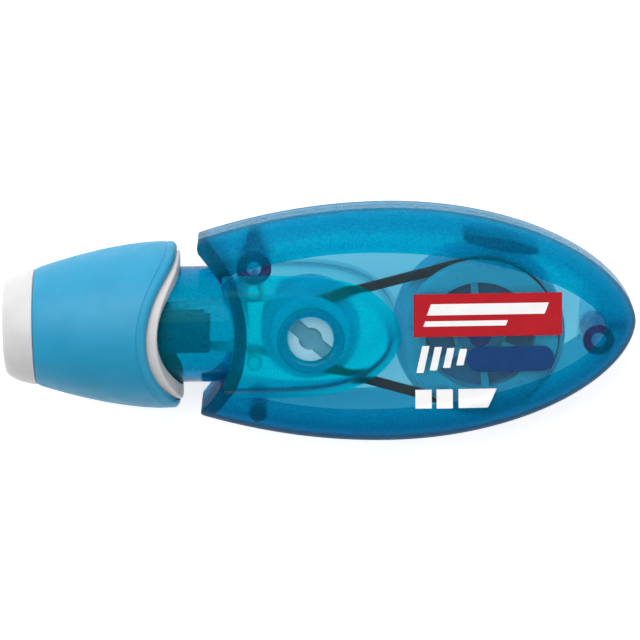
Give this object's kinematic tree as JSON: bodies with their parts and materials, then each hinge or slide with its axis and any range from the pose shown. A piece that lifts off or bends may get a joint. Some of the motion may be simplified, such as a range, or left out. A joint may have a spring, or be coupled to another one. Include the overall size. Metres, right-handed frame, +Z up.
{
  "type": "correction tape roller",
  "caption": "Pocket correction tape roller: translucent leaf-shaped case with belt-driven spools and a twist sleeve that slides back to bare the tape tip.",
  "frame": {"origin": "centre of the object's footprint, on the surface it lies on", "axes": "+X from the nose to the tail, +Y across the wide face, +Z up, the normal of the wide front face"},
  "size_m": [0.1048, 0.0392, 0.0276],
  "materials": {
    "case_shell": "translucent moulded plastic, clear window panel inside a finely frosted border",
    "holder_plastic": "translucent moulded plastic",
    "white_plastic": "satin moulded plastic",
    "grip_plastic": "soft-touch moulded grip",
    "belt_rubber": "matt rubber",
    "tape_paper": "matt white coating on thin film",
    "film": "thin glossy film",
    "spool_plastic": "translucent moulded plastic",
    "knob_plastic": "satin moulded plastic"
  },
  "bodies": {
    "case": {"front_shell": "case_shell", "rear_shell": "case_shell", "tip_holder": "holder_plastic", "tip_blade": "white_plastic", "drive_belt": "belt_rubber", "feed_tape": "tape_paper", "return_film": "film", "pulley_clip": "white_plastic"},
    "carrier": {"sleeve_carrier": "white_plastic"},
    "sleeve": {"sleeve_liner": "white_plastic", "sleeve_grip": "grip_plastic"},
    "supply": {"supply_spool": "spool_plastic", "tape_core": "white_plastic", "correction_tape_roll": "tape_paper"},
    "pulley": {"drive_pulley": "spool_plastic", "clutch_ring": "belt_rubber"},
    "take_up": {"take_up_spool": "spool_plastic", "used_film_roll": "film", "take_up_pulley": "spool_plastic", "tension_knob": "knob_plastic"}
  },
  "joints": [
    {"name": "sleeve_slide", "type": "slide", "parent": "case", "child": "carrier", "axis": [1, 0, 0], "range_m": [0, 0.007]},
    {"name": "sleeve_twist", "type": "hinge", "parent": "carrier", "child": "sleeve", "pos_m": [-0.035, 0, 0.01382], "axis": [1, 0, 0], "range_deg": [0, 90]},
    {"name": "supply_spin", "type": "hinge", "parent": "case", "child": "supply", "pos_m": [0.0264, -0.0014, 0.01382], "axis": [0, 0, -1], "continuous": true},
    {"name": "pulley_spin", "type": "hinge", "parent": "case", "child": "pulley", "pos_m": [0.0264, -0.0014, 0.01382], "axis": [0, 0, -1], "continuous": true},
    {"name": "take_up_spin", "type": "hinge", "parent": "case", "child": "take_up", "pos_m": [-0.0016, -0.0007, 0.01382], "axis": [0, 0, -1], "continuous": true}
  ],
  "couplings": [
    {"joint": "sleeve_slide", "follows": "sleeve_twist", "m_per_rad": 0.00445},
    {"joint": "pulley_spin", "follows": "supply_spin", "ratio": 1},
    {"joint": "take_up_spin", "follows": "supply_spin", "ratio": 2.1959}
  ]
}
